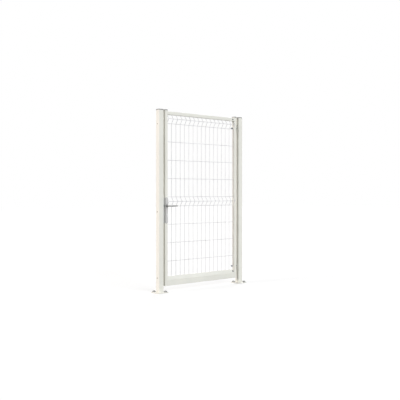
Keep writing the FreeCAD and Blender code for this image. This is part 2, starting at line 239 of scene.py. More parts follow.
@dataclass(frozen=True)
class PowderCoat(Finish):
    """Polyester powder coat, sprayed and baked on steel.

    It gives the eye an even satin off-white with the faint orange peel of the
    melted powder, and hardly a change of tone from one end of a tube to the other.
    """

    grain: Noise = Noise(1.6, 1.5, 0.4)
    tone: Noise = Noise(240.0, 3.0, 0.5)
    wander: float = 0.04
    relief: tuple[float, float] = (0.35, 0.02)


@dataclass(frozen=True)
class ZincPlate(Finish):
    """Electroplated zinc with a passivated skin, on turned and pressed steel.

    It gives the eye a soft metal sheen with small cloudy patches, bluish on the
    hinges, clear on the inserts and the lock, and black on the corner screws.
    """

    grain: Noise = Noise(9.0, 4.0, 0.6)
    wander: float = 0.08
    blend: tuple[float, float] = (0.35, 0.7)
    metallic: float = 1.0


@dataclass(frozen=True)
class BrushedAluminium(Finish):
    """Anodised aluminium, brushed before the bath.

    It gives the eye a cool grey satin with fine upright streaks.  The real streaks
    are about 0.1 mm wide; they are drawn at 0.6 mm so that they show.
    """

    grain: Noise = Noise(0.6, 2.0, 0.5, 50.0)
    wander: float = 0.06
    blend: tuple[float, float] = (0.3, 0.7)
    relief: tuple[float, float] = (0.2, 0.01)
    metallic: float = 1.0


@dataclass(frozen=True)
class MouldedNylon(Finish):
    """Glass-filled nylon, injection moulded against a spark-eroded tool.

    It gives the eye a flat grey or black with the fine matt grain of 0.3 mm grit.
    """

    grain: Noise = Noise(0.3, 2.0, 0.6)
    relief: tuple[float, float] = (0.5, 0.03)


FRAME_COAT = PowderCoat("powder_coated_steel_tube", "#ebeae2", "#e7e6de", 0.42)
WIRE_COAT = PowderCoat("powder_coated_wire", "#d8d8da", "#d2d2d4", 0.45)
CAP_NYLON = MouldedNylon("grey_moulded_nylon", "#999998", "#8b8b8a", 0.55)
# Black of the handle bushes: painted shade, a dark ring that stands in for the shading and the
# lever's shadow round its neck.
NECK_SHADE_NYLON = MouldedNylon("black_nylon_painted_neck_shade", "#3a3b3c", "#2f3031", 0.5)
PLATE_ALUMINIUM = BrushedAluminium("brushed_anodised_aluminium", "#bebebd", "#b4b4b3", 0.42)
# The grip is the cover plates' anodised aluminium drawn darker: painted shade that stands in for
# the dim reflections on its round surface.
SHADED_GRIP_ALUMINIUM = BrushedAluminium("anodised_aluminium_with_painted_shade", "#9d9d9c", "#919190", 0.42,
                                  Noise(0.6, 2.0, 0.5, 10.0))
FITTING_ZINC = ZincPlate("blue_zinc_plated_steel", "#8f9499", "#7b8086", 0.38)
LOCK_ZINC = ZincPlate("bright_zinc_plated_steel", "#d3d4d3", "#c6c7c6", 0.45)
INSERT_ZINC = ZincPlate("clear_zinc_plated_steel", "#cbc6bd", "#bbb6ad", 0.4)
SCREW_ZINC = ZincPlate("black_zinc_plated_steel", "#6c6d6e", "#606162", 0.5)


# ---- shapes


def unit(rows: np.ndarray) -> np.ndarray:
    """Scale each row to length 1."""
    return rows / np.linalg.norm(rows, axis=-1, keepdims=True)


def helper_to(direction: np.ndarray) -> np.ndarray:
    """Give the upward direction, or the backward one where the given one is steep."""
    return np.array([0.0, 0.0, 1.0] if abs(direction[2]) < 0.5 else [0.0, 1.0, 0.0])


def closing_shares(steps: int) -> np.ndarray:
    """Shares of a length that crowd towards its end, where a dome closes.

    They are the sines of even angles from 0 to 0.97 of a right angle.

    Args:
        steps: How many shares.

    Returns:
        The shares, from 0 to just under 1.
    """
    return np.sin(np.linspace(0.0, np.pi / 2.0 * 0.97, steps))


def copies(shape: np.ndarray, places: np.ndarray) -> np.ndarray:
    """Repeat rings of points about the origin at each place, one row a copy."""
    return shape[None] + places[:, None, None]


def ring_quads(rows: int, columns: int, looped: bool) -> np.ndarray:
    """Join neighbouring rings of points by four-sided faces.

    Args:
        rows: Number of rings.
        columns: Points on each ring.
        looped: Whether the last ring joins the first.

    Returns:
        Point numbers, four to a face.
    """
    row = np.arange(rows if looped else rows - 1)[:, None]
    column = np.arange(columns)[None, :]
    following = (column + 1) % columns
    here = row * columns
    there = (row + 1) % rows * columns
    corners = [here + column, here + following, there + following, there + column]
    return np.stack(corners, axis=-1).reshape(-1, 4)


def rounded(corners: np.ndarray, radius: float, steps: int) -> np.ndarray:
    """Round the inner corners of a run of points.

    The arc at a corner touches both of its runs: it starts at radius / tan(half
    the corner's angle) from the corner, and its centre lies on the corner's
    bisector at radius / sin(half the angle).

    Args:
        corners: The run's points, one row each.
        radius: Radius of every arc.
        steps: Points on each arc.

    Returns:
        The rounded run's points.
    """
    before = unit(corners[:-2] - corners[1:-1])
    after = unit(corners[2:] - corners[1:-1])
    half = 0.5 * np.arccos(np.clip((before * after).sum(axis=1), -1.0, 1.0))[:, None]
    centre = corners[1:-1] + unit(before + after) * radius / np.sin(half)
    start = corners[1:-1] + before * radius / np.tan(half) - centre
    finish = corners[1:-1] + after * radius / np.tan(half) - centre
    turn = (np.pi - 2.0 * half)[:, None, :]
    share = np.linspace(0.0, 1.0, steps)[None, :, None]
    swing = np.sin((1.0 - share) * turn) * start[:, None] + np.sin(share * turn) * finish[:, None]
    arcs = centre[:, None] + swing / np.sin(turn)
    return np.concatenate([corners[:1], arcs.reshape(-1, corners.shape[1]), corners[-1:]])


def sweep(path: np.ndarray, across: np.ndarray, along_up: np.ndarray,
          up: tuple[float, float, float], sides: int, closed: bool = False) -> np.ndarray:
    """Carry an ellipse along a flat path.

    The ring at a path point is the point, plus cos(t) times its first radius
    along tangent x up, plus sin(t) times its second radius along up.

    Args:
        path: Points in one plane, one row each.
        across: First radius at each point, in the path's plane.
        along_up: Second radius at each point, square to that plane.
        up: Direction square to the path's plane.
        sides: Points on each ring.
        closed: Whether the path runs back into its start.

    Returns:
        Rings of points: ring, point, coordinate.
    """
    if closed:
        tangent = unit(np.roll(path, -1, axis=0) - np.roll(path, 1, axis=0))
    else:
        tangent = unit(np.gradient(path, axis=0))
    normal = np.array(up)
    side = unit(np.cross(tangent, normal))
    angle = np.linspace(0.0, 2.0 * np.pi, sides, endpoint=False)
    first = np.broadcast_to(across, len(path))[:, None, None]
    second = np.broadcast_to(along_up, len(path))[:, None, None]
    out = np.cos(angle)[None, :, None] * side[:, None] * first
    return path[:, None] + out + np.sin(angle)[None, :, None] * normal * second


@dataclass(frozen=True)
class Ring:
    """One ring of a turned piece.

    The ring's reach at an angle is its radius times its outline there, and its
    height rises by slope times what that reach exceeds the radius by, which cuts
    a hexagon's corners back as a chamfer does.
    """

    radius: float
    height: float
    outline: Outline = Outline.ROUND
    slope: float = 0.0


def outline_reach(outline: Outline, angle: np.ndarray) -> np.ndarray:
    """Reach of an outline over its inner radius.

    A hexagon reaches 1 / cos of the angle from the nearest flat's middle.  A
    keyway is a rectangle five times as tall as wide, with its height as 1.

    Args:
        outline: The outline.
        angle: Angles round the axis, in radians.

    Returns:
        The reach at each angle.
    """
    if outline is Outline.HEXAGON:
        return 1.0 / np.cos(np.mod(angle, np.pi / 3.0) - np.pi / 6.0)
    if outline is Outline.KEYWAY:
        upright = 1.0 / np.maximum(np.abs(np.sin(angle)), 1e-6)
        level = 0.2 / np.maximum(np.abs(np.cos(angle)), 1e-6)
        return np.minimum(upright, level)
    return np.ones_like(angle)


def spun(reach: np.ndarray, height: np.ndarray, angle: np.ndarray, axis: Axis,
         centre: np.ndarray) -> np.ndarray:
    """Set rings of points round an axis.

    Args:
        reach: Distance from the axis at each ring and angle.
        height: Distance along the axis, for each ring or also for each angle.
        angle: Angles round the axis, in radians.
        axis: Direction that the heights count along.
        centre: Place of height 0, in metres.

    Returns:
        Rings of points in metres.
    """
    pointing = np.array(axis.value)
    upward = helper_to(pointing)
    sideways = np.cross(upward, pointing)
    level = (reach * np.cos(angle))[..., None] * sideways
    upright = (reach * np.sin(angle))[..., None] * upward
    return np.asarray(centre) + (level + upright + height[..., None] * pointing) * MM


def turned(rings: list[Ring], axis: Axis, centre: np.ndarray, sides: int = 36) -> np.ndarray:
    """Stack rings along an axis.

    Args:
        rings: The rings in order.
        axis: Direction that the heights count along.
        centre: Place of height 0, in metres.
        sides: Points on each ring, a multiple of 12 where a hexagon is used.

    Returns:
        Rings of points in metres.
    """
    angle = np.linspace(0.0, 2.0 * np.pi, sides, endpoint=False)
    radius = np.array([[ring.radius] for ring in rings])
    reach = radius * np.stack([outline_reach(ring.outline, angle) for ring in rings])
    slope = np.array([[ring.slope] for ring in rings])
    height = np.array([[ring.height] for ring in rings]) + slope * (reach - radius)
    return spun(reach, height, angle, axis, centre)


def threaded(length: float, radius: float, pitch: float, depth: float, axis: Axis,
             centre: np.ndarray) -> np.ndarray:
    """Make a threaded rod.

    The radius at height z and angle t is the crest radius less the depth times
    |2 * frac(z / pitch + t / 2 pi) - 1|, and it falls off by 1.2 times the depth
    over the last turn.  Six rings make one turn.

    Args:
        length: Length of the rod.
        radius: Radius over the thread's crest.
        pitch: Rise of the thread in one turn.
        depth: Depth of the thread.
        axis: Direction that the rod points along.
        centre: Start of the rod, in metres.

    Returns:
        Rings of points in metres.
    """
    rows = int(round(length / pitch * 6.0)) + 1
    height = np.linspace(0.0, length, rows)[:, None]
    angle = np.linspace(0.0, 2.0 * np.pi, 24, endpoint=False)[None, :]
    wave = np.abs(2.0 * np.mod(height / pitch + angle / (2.0 * np.pi), 1.0) - 1.0)
    taper = np.clip((height - (length - pitch)) / pitch, 0.0, 1.0)
    return spun(radius - depth * wave - 1.2 * depth * taper, height, angle, axis, centre)


def weld_seam(start: list[float], finish: list[float], radius: float,
              ripple: float = 2.2) -> np.ndarray:
    """Lay a straight weld seam.

    The seam's radius at a share s of its length is the full radius times (1 -
    (2 s - 1)^6) to the power 0.5, which rounds both ends, times 1 + the ripples'
    swell times the cosine of one turn for each ripple.  Four rings draw a ripple,
    from 0.004 to 0.996 of the length.

    Args:
        start: First end, in metres.
        finish: Other end, in metres.
        radius: Radius of the seam.
        ripple: Distance between ripples.

    Returns:
        Rings of points in metres.
    """
    start = np.asarray(start, dtype=float)
    finish = np.asarray(finish, dtype=float)
    length = float(np.linalg.norm(finish - start)) / MM
    rows = max(12, int(length / ripple * 4.0))
    share = np.linspace(0.004, 0.996, rows)
    wave = 1.0 + RIPPLE_SWELL * np.cos(2.0 * np.pi * share * length / ripple)
    size = radius * MM * np.sqrt(1.0 - (2.0 * share - 1.0) ** 6) * wave
    path = start + share[:, None] * (finish - start)
    tangent = unit(finish - start)
    up = unit(np.cross(np.cross(tangent, helper_to(tangent)), tangent))
    return sweep(path, size, size, tuple(up), SEAM_SIDES)


def weld_ring(centre: np.ndarray, half: float, corner: float, radius: float,
              ripple: float = 2.6) -> np.ndarray:
    """Lay a weld seam round a square tube.

    The path is a rounded square: each quarter turn is an arc about its corner's
    centre, and straight runs join the arcs.

    Args:
        centre: Middle of the tube at the seam, in metres.
        half: Half the tube's width.
        corner: Radius of the tube's corners.
        radius: Radius of the seam.
        ripple: Distance between ripples.

    Returns:
        Rings of points in metres, running back into the first.
    """
    quarter = np.linspace(0.0, np.pi / 2.0, 6)
    turn = quarter[None, :] + np.array([0.0, 0.5, 1.0, 1.5])[:, None] * np.pi
    sign_x = np.array([1.0, -1.0, -1.0, 1.0])[:, None]
    sign_y = np.array([1.0, 1.0, -1.0, -1.0])[:, None]
    loop_x = (sign_x * (half - corner) + corner * np.cos(turn)).ravel()
    loop_y = (sign_y * (half - corner) + corner * np.sin(turn)).ravel()
    loop_x = np.append(loop_x, loop_x[0])
    loop_y = np.append(loop_y, loop_y[0])
    steps = np.hypot(np.diff(loop_x), np.diff(loop_y))
    travelled = np.concatenate([[0.0], np.cumsum(steps)])
    ripples = round(travelled[-1] / ripple)
    at = np.linspace(0.0, travelled[-1], ripples * 4, endpoint=False)
    path = np.stack([np.interp(at, travelled, loop_x), np.interp(at, travelled, loop_y),
                     0.0 * at], axis=1)
    wave = 1.0 + RIPPLE_SWELL * np.cos(2.0 * np.pi * at / travelled[-1] * ripples)
    size = radius * MM * wave
    return sweep(np.asarray(centre) + path * MM, size, size, (0.0, 0.0, 1.0), SEAM_SIDES,
                 closed=True)


class Skin:
    """One piece's surface, gathered from rings of points."""

    def __init__(self, *tubes: np.ndarray, looped: bool = False) -> None:
        """Start with some tubes, all of them looped or none.

        Args:
            tubes: Rings of points of each tube.
            looped: Whether each tube's last ring joins its first.
        """
        self.points: list[np.ndarray] = []
        self.faces: list[np.ndarray] = []
        self.count = 0
        for rings in tubes:
            self.add(rings, looped)

    def add(self, rings: np.ndarray, looped: bool = False) -> None:
        """Add closed tubes of rings, with a fan over each open end.

        The sum of each triangle's corner products gives a tube's volume, and the
        faces of a tube with a negative one are turned round, so all face outwards.

        Args:
            rings: Ring, point and coordinate, after any axes that count copies.
            looped: Whether the last ring joins the first.
        """
        rings = rings.reshape((-1,) + rings.shape[-3:])
        count, rows, columns, _ = rings.shape
        points = rings.reshape(count, rows * columns, 3)
        quads = ring_quads(rows, columns, looped)
        fans = np.empty((0, 3), dtype=int)
        if not looped:
            points = np.concatenate([points, rings[:, (0, -1)].mean(axis=2)], axis=1)
            here = np.arange(columns)
            following = (here + 1) % columns
            last = (rows - 1) * columns
            hub = np.full(columns, rows * columns)
            fans = np.concatenate([np.stack([hub, following, here], axis=1),
                                   np.stack([hub + 1, last + here, last + following], axis=1)])
        soup = np.concatenate([quads[:, (0, 1, 2)], quads[:, (0, 2, 3)], fans])
        corners = points[:, soup] - points.mean(axis=1)[:, None, None]
        normals = np.cross(corners[:, :, 1], corners[:, :, 2])
        volume = np.einsum("cti,cti->c", corners[:, :, 0], normals)
        inward = (volume < 0.0)[:, None, None]
        shift = self.count + np.arange(count)[:, None, None] * points.shape[1]
        for group in (quads, fans):
            turned_round = np.where(inward, group[:, ::-1], group) + shift
            self.faces.append(turned_round.reshape(-1, group.shape[1]))
        self.points.append(points.reshape(-1, 3))
        self.count += points.shape[0] * points.shape[1]

    def piece(self, name: str, finish: Finish, body: str,
              crease: float = 35.0) -> bpy.types.Object:
        """Make the gathered surface one object that moves with a body.

        Args:
            name: Name of the piece.
            finish: Finish of its surface.
            body: Body that carries it.
            crease: Angle in degrees above which an edge stays sharp.

        Returns:
            The new object.
        """
        faces = [face for group in self.faces for face in group.tolist()]
        mesh = bpy.data.meshes.new(name)
        mesh.from_pydata(np.concatenate(self.points).tolist(), [], faces)
        mesh.polygons.foreach_set("use_smooth", np.ones(len(mesh.polygons), dtype=bool))
        mesh.set_sharp_from_angle(angle=math.radians(crease))
        mesh.materials.append(finish.material())
        mesh.update()
        made = bpy.data.objects.new(name, mesh)
        bpy.context.scene.collection.objects.link(made)
        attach(made, body)
        LOG.info("%s: %d faces on %s", name, len(mesh.polygons), body)
        return made


@dataclass(frozen=True)
class Extent:
    """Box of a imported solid, in metres."""

    low: np.ndarray
    high: np.ndarray

    @classmethod
    def of(cls, node: str) -> "Extent":
        """Read the box of a node at rest."""
        low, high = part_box(node)
        return cls(np.array(low), np.array(high))

    @property
    def middle(self) -> np.ndarray:
        """Centre of the box."""
        return (self.low + self.high) / 2.0

    def pair(self, x: float, y: float, inset: float) -> list[list[float]]:
        """Two places at x and y, as far above the box's foot as below its top."""
        return [[x, y, self.low[2] + inset * MM], [x, y, self.high[2] - inset * MM]]


def dress(finish: Finish, *nodes: str) -> None:
    """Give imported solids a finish.

    Args:
        finish: The finish.
        nodes: Names of the solids.
    """
    for name in nodes:
        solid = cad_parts[name]
        if not solid.material_slots:
            solid.data.materials.append(finish.material())
        for place in solid.material_slots:
            place.material = finish.material()
        LOG.info("%s: %s", name, finish.name)


def pierced(radius: float, height: float, bore: float, land: float, edge: float,
            outline: Outline = Outline.ROUND, chamfer: float = 0.0) -> list[Ring]:
    """Rings of a washer or a nut with broken edges, to be looped.

    Args:
        radius: Outer radius, or half the width across the flats.
        height: Height.
        bore: Radius of the hole.
        land: Radius of the flat ends.
        edge: Height of the broken edges.
        outline: Shape of the outside.
        chamfer: Slope that cuts the corners back.

    Returns:
        Rings from the hole's foot round the outside to its top.
    """
    return [Ring(bore, 0.0), Ring(land, 0.0), Ring(radius, edge, outline, chamfer),
            Ring(radius, height - edge, outline, -chamfer), Ring(land, height), Ring(bore, height)]


def button_head(radius: float, height: float, socket: float) -> list[Ring]:
    """Rings of a domed screw head with a hexagon socket.

    The dome's height at radius r is the height times (1 - (r / radius)^2) to the
    power 0.5, cut off at the socket's rim, which is 1.25 times as wide as the
    socket.  The socket's floor lies 0.6 of the height below the rim.

    Args:
        radius: Radius of the head.
        height: Height of the dome.
        socket: Half the socket's width across its flats.

    Returns:
        Rings from the foot of the head to the socket's floor.
    """
    rim = 1.25 * socket
    reach = radius - np.linspace(0.0, 1.0, 6) * (radius - rim)
    rise = height * np.sqrt(1.0 - (reach / radius) ** 2)
    dome = [Ring(float(r), float(z)) for r, z in zip(reach, rise)]
    crown = dome[-1].height
    floor = crown - 0.6 * height
    return dome + [Ring(socket, crown, Outline.HEXAGON), Ring(socket, floor, Outline.HEXAGON)]


def set_heads(name: str, finish: Finish, body: str, head: list[Ring], axis: Axis,
              places: list[list[float]]) -> None:
    """Set equal screw heads as one piece.

    Args:
        name: Name of the piece.
        finish: Finish of the heads.
        body: Body that carries them.
        head: Rings of one head.
        axis: Direction that the heads point along.
        places: Foot of each head, in metres.
    """
    Skin(*(turned(head, axis, place) for place in places)).piece(name, finish, body)


# ---- sub-assemblies


@dataclass
class Posts:
    """Two square posts on base plates, with caps, inserts, foot welds and anchor covers."""

    tube: float = 60.0
    corner: float = 4.0
    plate: float = 8.0
    foot_weld: float = 3.2
    weld_lift: float = 0.4          # of the weld's radius, above the plate
    weld_reach: float = 0.2         # of the weld's radius, outside the tube
    anchor_pitch: float = 90.0
    cover_flange: float = 19.5
    cover_radius: float = 18.0
    cover_foot: float = 3.0
    cover_height: float = 17.0
    cover_edge: tuple[float, float] = (0.6, 0.8)

    def dress(self) -> None:
        """Give the posts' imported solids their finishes."""
        for end in End:
            side = end.value + "_post"
            dress(FRAME_COAT, side, side + "_plate")
            dress(CAP_NYLON, side + "_cap")
            dress(INSERT_ZINC, side + "_inserts")

    def foot_welds(self, end: End) -> None:
        """Lay the weld seam where a post stands on its plate.

        Args:
            end: The post.
        """
        middle = Extent.of(end.value + "_post").middle
        middle[2] = self.plate * MM + self.weld_lift * self.foot_weld * MM
        half = self.tube / 2.0 + self.weld_reach * self.foot_weld
        skin = Skin(weld_ring(middle, half, self.corner, self.foot_weld), looped=True)
        skin.piece(end.value + "_post_foot_weld", FRAME_COAT, "posts", CREASE_WELD)

    def anchor_covers(self, end: End) -> None:
        """Set the covers of the two ground anchors in a post's plate.

        A cover is a flange with a dome on it, whose radius at a share s of its
        height is the full radius times (1 - s^2) to the power 0.4.

        Args:
            end: The post.
        """
        middle = Extent.of(end.value + "_post").middle
        reach = self.anchor_pitch / 2.0 * MM
        edge_in, edge_down = self.cover_edge
        share = closing_shares(10)
        size = self.cover_radius * (1.0 - share ** 2) ** 0.4
        rise = self.cover_foot + share * (self.cover_height - self.cover_foot)
        cover = [Ring(self.cover_flange, 0.0), Ring(self.cover_flange, self.cover_foot - edge_down),
                 Ring(self.cover_flange - edge_in, self.cover_foot)]
        cover += [Ring(float(r), float(z)) for r, z in zip(size, rise)]
        feet = [[middle[0] + sign * reach, middle[1] - sign * reach, self.plate * MM]
                for sign in (-1.0, 1.0)]
        skin = Skin(*(turned(cover, Axis.UP, foot, NECK_SIDES) for foot in feet))
        skin.piece(end.value + "_post_anchor_covers", CAP_NYLON, "posts")

    def build(self) -> None:
        """Make and dress everything on the posts."""
        self.dress()
        for end in End:
            self.foot_welds(end)
            self.anchor_covers(end)


@dataclass
class LeafFrame:
    """Welded frame of the leaf: two stiles, two rails and the folded sill."""

    seam: float = 2.2
    upright_seam: float = 1.54
    stitch_seam: float = 1.76
    inset: float = 3.0
    stitch: float = 28.0
    stitches: int = 6
    screw_radius: float = 10.5
    screw_height: float = 4.5
    screw_socket: float = 3.0
    upper_screw_from_stile: float = 22.0
    lower_screw_from_stile: float = 14.0
    upper_screw_below_top: float = 15.0
    lower_screw_above_bottom: float = 80.0
    sill_half_top: float = 4.5

    def dress(self) -> None:
        """Give the frame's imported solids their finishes."""
        dress(FRAME_COAT, "hinge_stile", "latch_stile", "top_rail", "bottom_rail", "bottom_sill")
        dress(CAP_NYLON, "hinge_stile_cap", "latch_stile_cap")

    def welds(self) -> None:
        """Lay the seams where the rails and the sill meet the stiles and each other."""
        top = Extent.of("top_rail")
        bottom = Extent.of("bottom_rail")
        sill = Extent.of("bottom_sill")
        inset = self.inset * MM
        ridge = self.sill_half_top * MM
        near = top.low[1] + inset
        far = top.high[1] - inset
        slopes = ((sill.low[1], sill.middle[1] - ridge), (sill.high[1], sill.middle[1] + ridge))
        skin = Skin()
        for x in (top.low[0], top.high[0]):
            for z in (top.low[2], bottom.low[2]):
                skin.add(weld_seam([x, near, z], [x, far, z], self.seam))
            for y, ridge_y in slopes:
                skin.add(weld_seam([x, y, sill.low[2]], [x, ridge_y, sill.high[2]], self.seam))
                for rail in (top, bottom):
                    skin.add(weld_seam([x, y, rail.low[2] + inset], [x, y, rail.high[2] - inset],
                                       self.upright_seam))
        length = sill.high[0] - sill.low[0]
        middles = sill.low[0] + (np.arange(self.stitches) + 0.5) / self.stitches * length
        half = self.stitch / 2.0 * MM
        for x in middles:
            for y in (sill.low[1], sill.high[1]):
                skin.add(weld_seam([x - half, y, sill.low[2]], [x + half, y, sill.low[2]],
                                   self.stitch_seam))
        skin.piece("leaf_frame_welds", FRAME_COAT, "leaf", CREASE_WELD)

    def corner_screws(self) -> None:
        """Set the two dark screws beside the hinge stile, in the top rail and the sill.

        The sill's face leans back by the angle whose tangent is its depth over its
        height, and the lower screw leans with it.
        """
        top = Extent.of("top_rail")
        bottom = Extent.of("bottom_rail")
        sill = Extent.of("bottom_sill")
        upper_x = top.high[0] - self.upper_screw_from_stile * MM
        lower_x = top.high[0] - self.lower_screw_from_stile * MM
        rise = bottom.low[2] + self.lower_screw_above_bottom * MM
        depth = sill.middle[1] - self.sill_half_top * MM - sill.low[1]
        height = sill.high[2] - sill.low[2]
        slope_y = sill.low[1] + (rise - sill.low[2]) / height * depth
        lean = math.atan2(depth, height)
        tilt = np.array([[1.0, 0.0, 0.0], [0.0, math.cos(lean), math.sin(lean)],
                         [0.0, -math.sin(lean), math.cos(lean)]])
        rings = button_head(self.screw_radius, self.screw_height, self.screw_socket)
        head = turned(rings, Axis.FORWARD, np.zeros(3))
        upper_z = top.high[2] - self.upper_screw_below_top * MM
        skin = Skin(head + np.array([upper_x, top.low[1], upper_z]),
                    head @ tilt.T + np.array([lower_x, slope_y, rise]))
        skin.piece("leaf_corner_screws", SCREW_ZINC, "leaf")

    def build(self) -> None:
        """Make and dress everything on the leaf's frame."""
        self.dress()
        self.welds()
        self.corner_screws()


@dataclass
class MeshInfill:
    """Folded welded mesh with round wires."""

    wire: float = 5.0
    columns: int = 17
    plain_levels: int = 4
    pitch_z: float = 200.0
    margin: float = 1.5
    rise: float = 4.3
    fold_height: float = 100.0
    fold_depth: float = 36.0
    bend_radius: float = 9.0
    weld_bite: float = 0.6
    sides: int = 12
    nugget_radius: float = 2.1
    nugget_depth: float = 3.0
    collar_sink: float = 0.3
    collar_foot: float = 1.3
    collar_shoulder: tuple[float, float] = (0.9, 0.8)
    collar_height: float = 1.8

    def levels(self, top: float, bottom: float) -> tuple[np.ndarray, np.ndarray]:
        """Heights of the cross wires and how far each stands forward.

        A fold has one wire on its nose, half its height down, and one at its foot.
        Plain rows one pitch apart follow the upper fold, and the lower fold's foot
        as far down as the sill.

        Args:
            top: Underside of the top rail.
            bottom: Top of the sill.

        Returns:
            Heights from the top down, and depths.
        """
        upper = top + self.rise - np.array([0.5, 1.0]) * self.fold_height
        plain = upper[-1] - np.arange(1, self.plain_levels + 1) * self.pitch_z
        lower = plain[-1] - np.array([0.5, 1.0]) * self.fold_height
        below = np.arange(lower[-1] - self.pitch_z, bottom + self.wire, -self.pitch_z)
        heights = np.concatenate([upper, plain, lower, below])
        depths = np.zeros(len(heights))
        depths[[0, len(upper) + len(plain)]] = self.fold_depth
        return heights, depths

    def build(self) -> None:
        """Make the round-wire mesh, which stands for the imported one.

        An upright wire hangs straight down, and at each fold it goes forward by the
        fold's depth over half its height and back over the other half, with rounded
        bends.  The rail hides the start of the upper fold, so the wire starts on its
        slope, forward by the fold's depth times rise over half its height.
        """
        rail = Extent.of("top_rail")
        top = rail.low[2] / MM
        bottom = Extent.of("bottom_sill").high[2] / MM
        left = rail.low[0] / MM
        right = rail.high[0] / MM
        middle = rail.middle[1] / MM
        radius = self.wire / 2.0
        first = left + self.margin + radius
        heights, depths = self.levels(top, bottom)
        half_fold = self.fold_height / 2.0
        upper_leg = middle - self.fold_depth * self.rise / half_fold
        bends = []
        for level in heights[depths > 0.0]:
            bends += [[middle, level + half_fold], [middle - self.fold_depth, level],
                      [middle, level - half_fold]]
        bends = np.array([[upper_leg, top]] + bends[1:] + [[middle, bottom]])
        side_view = rounded(bends, self.bend_radius, 7)
        profile = np.insert(side_view, 0, first, axis=1)
        upright = sweep(profile * MM, radius * MM, radius * MM, (1.0, 0.0, 0.0), self.sides)
        span = right - left - self.wire - 2.0 * self.margin
        steps = np.linspace(0.0, span, self.columns) * MM
        skin = Skin(copies(upright, np.stack([steps, 0.0 * steps, 0.0 * steps], axis=1)))
        ends = np.array([[left, 0.0, 0.0], [right, 0.0, 0.0]])
        bar = sweep(ends * MM, radius * MM, radius * MM, (0.0, 0.0, 1.0), self.sides)
        ahead = middle - depths - (self.wire - self.weld_bite)
        skin.add(copies(bar, np.stack([0.0 * heights, ahead, heights], axis=1) * MM))
        columns = first * MM + steps
        self.nuggets(skin, columns, middle - depths - radius, heights)
        self.end_welds(skin, columns, (upper_leg, top), (middle, bottom))
        made = skin.piece("round_wire_mesh", WIRE_COAT, "leaf", 50.0)
        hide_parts("mesh_panel")

    def nuggets(self, skin: Skin, columns: np.ndarray, depths: np.ndarray,
                heights: np.ndarray) -> None:
        """Put a weld spot at each crossing.

        A spot is a flattened ball: its radius at a share s of its depth is the
        full radius times (1 - (2 s - 1)^2) to the power 0.5.

        Args:
            skin: Surface that takes the spots.
            columns: Places of the upright wires along the width, in metres.
            depths: Depth of the touching line at each level.
            heights: Height of each level.
        """
        share = np.array([0.06, 0.3, 0.7, 0.94])
        size = self.nugget_radius * np.sqrt(1.0 - (2.0 * share - 1.0) ** 2)
        rise = (share - 0.5) * self.nugget_depth
        rings = [Ring(float(r), float(z)) for r, z in zip(size, rise)]
        spot = turned(rings, Axis.BACKWARD, np.zeros(3), 8)
        across, down = np.meshgrid(np.arange(len(columns)), np.arange(len(heights)))
        places = np.stack([columns[across], depths[down] * MM, heights[down] * MM], axis=-1)
        skin.add(copies(spot, places.reshape(-1, 3)))

    def end_welds(self, skin: Skin, columns: np.ndarray, top: tuple[float, float],
                  bottom: tuple[float, float]) -> None:
        """Put a small collar of weld where each upright wire ends on the frame.

        Args:
            skin: Surface that takes the collars.
            columns: Places of the upright wires along the width, in metres.
            top: Depth and height of the ends under the top rail.
            bottom: Depth and height of the ends on the sill.
        """
        radius = self.wire / 2.0
        inner = radius - self.collar_sink
        out, up = self.collar_shoulder
        collar = [Ring(inner, 0.0), Ring(radius + self.collar_foot, 0.0), Ring(radius + out, up),
                  Ring(radius, self.collar_height), Ring(inner, self.collar_height)]
        rising = turned(collar, Axis.UP, np.zeros(3), 12)
        hanging = rising * np.array([1.0, 1.0, -1.0])
        for shape, (depth, level) in ((rising, bottom), (hanging, top)):
            places = np.stack([columns, 0.0 * columns + depth * MM, 0.0 * columns + level * MM],
                              axis=1)
            skin.add(copies(shape, places), looped=True)


